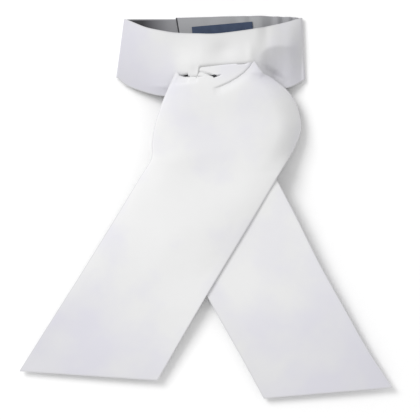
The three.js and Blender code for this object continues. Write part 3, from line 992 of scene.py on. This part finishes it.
def resting_height(carriers, points):
    """The height at which the tail's cloth would rest on what lies under each point."""
    found = np.full(points.shape[:-1], -1e9)
    for spot in np.ndindex(found.shape):
        x, y = points[spot][:2] * MM
        for carrier in carriers:
            hit, place, _, _ = carrier.ray_cast((x, y, 1), (0, 0, -1))
            if hit:
                found[spot] = max(found[spot], place.z / MM)
    return found + TAIL_CLOTH / 2 + LAYER_GAP


beside_knot = ((front_grid[..., 0] > LOBE_X)
               & (front_grid[..., 1] > LOBE_Y[0]) & (front_grid[..., 1] < LOBE_Y[1]))
lobe = front_grid[beside_knot]
sunk = np.maximum(resting_height([neckband], lobe) - lobe[:, 2], 0)
lift = sunk * smooth_step(lobe[:, 0], LOBE_X, LOBE_FULL_X)
front_grid[beside_knot, 2] += lift
print("the band holds the lobe up by, mm:", round(float(lift.max()), 2))

edge_y = front_grid[:, -1, 1]
rest = resting_height([back_tail], front_grid[:, -1])
crosses = (edge_y > CROSSING_Y[0]) & (edge_y < CROSSING_Y[1]) & (rest > 0)
move = np.where(crosses, rest - front_grid[:, -1, 2], 0)
padded = np.pad(move, AVERAGED_ROWS // 2, mode="edge")
move = np.convolve(padded, np.ones(AVERAGED_ROWS) / AVERAGED_ROWS, mode="valid")
front_grid[..., 2] += move[:, None] * smooth_step(front_across, FOLLOWS_FROM, 1)
print("the right edge moves by, mm:", move.round(1)[::20])

# %% [markdown]
# ### Open the pocket
#
# The pressed notch alone would still be white cloth. Where it is deepest, the cells of the sheet
# inside a small polygon are left open, and the dark hollow of the band shows through: real shade,
# over the band's inside that is painted with shade.

# %% Front tail sheet
POCKET = [(-0.2, 119.6), (5.8, 116.3), (12.2, 118.5), (6.2, 119.5)]


def within(corners, x, y):
    """Whether a point lies inside a polygon."""
    crossings = 0
    for (x0, y0), (x1, y1) in zip(corners, corners[1:] + corners[:1]):
        if (y0 > y) != (y1 > y):
            crossings += x < x0 + (x1 - x0) * (y - y0) / (y1 - y0)
    return crossings % 2 == 1


middles = (front_grid[1:, 1:] + front_grid[:-1, :-1]) / 2
pocket_cells = [cell for cell in np.ndindex(middles.shape[:2]) if within(POCKET, *middles[cell][:2])]
print("cells open in the pocket:", len(pocket_cells))
front_tail = lay_cloth("front_tail_cloth", front_grid * MM, pocket_cells)
finish_cloth(front_tail, TAIL_CLOTH * MM, outer_cotton)
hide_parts("front_tail", "knot_fold")

# %% [markdown]
# ## The label
#
# A woven label is damask: dark satin threads beaten close, cut from a ribbon and folded under at
# both ends. This one is bare. Its ribs are drawn 0.9 mm apart, coarser than real ones, so that they
# can show. It starts as a plane at its real size.

# %% Label
LABEL_SIZE = (55.5 * MM, 28 * MM)
LABEL_THICKNESS = 0.6 * MM
LABEL_TURN = math.radians(5)
LABEL_CUTS = 30
RIB_SPACING = 0.9 * MM

navy, navy_shader = start_material("navy_damask_ribbon", "#2B3C58", 0.6,
                                   **{"Sheen Weight": 0.3, "Sheen Roughness": 0.35})
label_place = add_node(navy, "ShaderNodeTexCoord").outputs["Object"]
ribs = add_node(navy, "ShaderNodeTexWave",
                {"Vector": label_place, "Scale": ONE_WAVE / RIB_SPACING}, bands_direction="Y")
rib_bump = add_node(navy, "ShaderNodeBump",
                    {"Height": ribs.outputs["Fac"], "Strength": 0.5, "Distance": 0.1 * MM})
worn = add_node(navy, "ShaderNodeTexNoise", {"Vector": label_place, "Scale": 140, "Detail": 3})
navy_colour = add_node(navy, "ShaderNodeMix",
                       {0: worn.outputs["Fac"], MIX_A: linear("#22314B"),
                        MIX_B: linear("#3A4A66")}, data_type="RGBA")
feed(navy, navy_shader, {"Base Color": navy_colour.outputs[MIX_OUT],
                         "Normal": rib_bump.outputs["Normal"]})

label_low, label_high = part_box("label")
label_middle = (label_low + label_high) / 2
bpy.ops.object.select_all(action="DESELECT")
bpy.ops.mesh.primitive_plane_add(size=1, location=label_middle[:], rotation=(0, 0, LABEL_TURN))
label = bpy.context.object
label.name = label.data.name = "label_ribbon"
label.scale = (*LABEL_SIZE, 1)
bpy.ops.object.transform_apply(location=True, rotation=True, scale=True)
bpy.ops.object.mode_set(mode="EDIT")
bpy.ops.mesh.subdivide(number_cuts=LABEL_CUTS)
bpy.ops.object.mode_set(mode="OBJECT")
wall = label.modifiers.new("thickness", "SOLIDIFY")
wall.thickness = LABEL_THICKNESS
wall.offset = 0
bpy.ops.object.modifier_apply(modifier="thickness")
label.data.materials.append(navy)
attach(label, "root")
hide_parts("label")
print("label faces:", len(label.data.polygons))

# %% [markdown]
# ## The touch fastener
#
# The hook-and-loop patch between the ends of the lap keeps its measured shape and only gets its
# material: a field of hooks, drawn 1.5 mm apart, with pile between them.

# %% Touch fastener
HOOK_SPACING = 1.5 * MM

tape, tape_shader = start_material("hook_and_loop_tape", "#DADADA", 0.95)
tape_place = add_node(tape, "ShaderNodeTexCoord").outputs["Object"]
hooks = add_node(tape, "ShaderNodeTexVoronoi",
                 {"Vector": tape_place, "Scale": 1 / HOOK_SPACING, "Randomness": 0.3})
pile = add_node(tape, "ShaderNodeTexNoise", {"Vector": tape_place, "Scale": 900, "Detail": 3})
tape_colour = add_node(tape, "ShaderNodeMix",
                       {0: pile.outputs["Fac"], MIX_A: linear("#E2E2E2"),
                        MIX_B: linear("#CBCBCE")}, data_type="RGBA")
tape_bump = add_node(tape, "ShaderNodeBump",
                     {"Height": hooks.outputs["Distance"], "Strength": 0.7, "Distance": 0.8 * MM})
feed(tape, tape_shader, {"Base Color": tape_colour.outputs[MIX_OUT],
                         "Normal": tape_bump.outputs["Normal"]})
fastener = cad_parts["touch_fastener"]
fastener.data.materials.clear()
fastener.data.materials.append(tape)
print("hook spacing, mm:", HOOK_SPACING / MM)

# %% [markdown]
# ## The finished tie's box
#
# The box of the finished tie is measured and printed.

low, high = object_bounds()
print("visual model, mm:", [round(v / MM, 1) for v in (*low, *high)])
